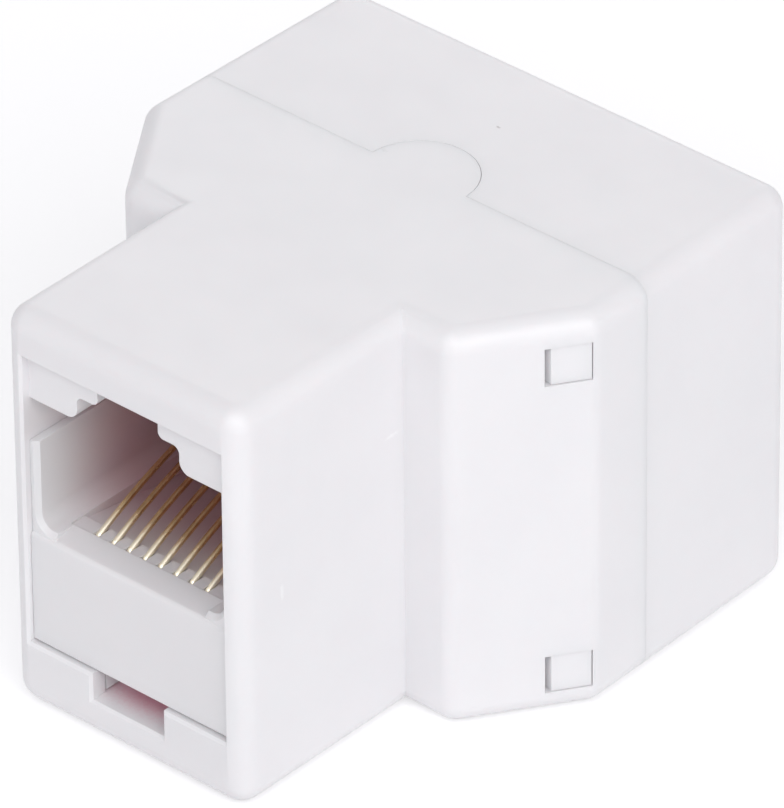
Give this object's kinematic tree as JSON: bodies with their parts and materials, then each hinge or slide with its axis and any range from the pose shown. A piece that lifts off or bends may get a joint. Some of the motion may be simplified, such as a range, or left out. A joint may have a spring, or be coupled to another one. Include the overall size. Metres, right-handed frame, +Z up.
{
  "type": "modular socket splitter adapter",
  "caption": "Small white plastic splitter with a modular socket in a narrow neck at the front, flared shoulders, and sockets side by side at the rear, with sprung contact wires",
  "frame": {"origin": "on the flat underside, under the middle of the adapter's width and length", "axes": "+X to the right seen from the single socket, +Y from the single socket to the paired sockets, +Z up"},
  "size_m": [0.0292, 0.0326, 0.0229],
  "materials": {
    "case_plastic": "smooth white moulding, half gloss",
    "insert_plastic": "smooth white moulding",
    "gold": "thin gold plating on drawn wire",
    "board": "green board with a smooth coat"
  },
  "bodies": {
    "root": {"front_shell": "case_plastic", "rear_shell": "case_plastic", "front_insert": "insert_plastic", "front_contact_1": "gold", "front_contact_2": "gold", "front_contact_3": "gold", "front_contact_4": "gold", "front_contact_5": "gold", "front_contact_6": "gold", "front_contact_7": "gold", "front_contact_8": "gold", "left_insert": "insert_plastic", "right_insert": "insert_plastic", "left_contact_1": "gold", "left_contact_2": "gold", "left_contact_3": "gold", "left_contact_4": "gold", "left_contact_5": "gold", "left_contact_6": "gold", "left_contact_7": "gold", "left_contact_8": "gold", "right_contact_1": "gold", "right_contact_2": "gold", "right_contact_3": "gold", "right_contact_4": "gold", "right_contact_5": "gold", "right_contact_6": "gold", "right_contact_7": "gold", "right_contact_8": "gold", "circuit_board": "board"}
  },
  "joints": []
}
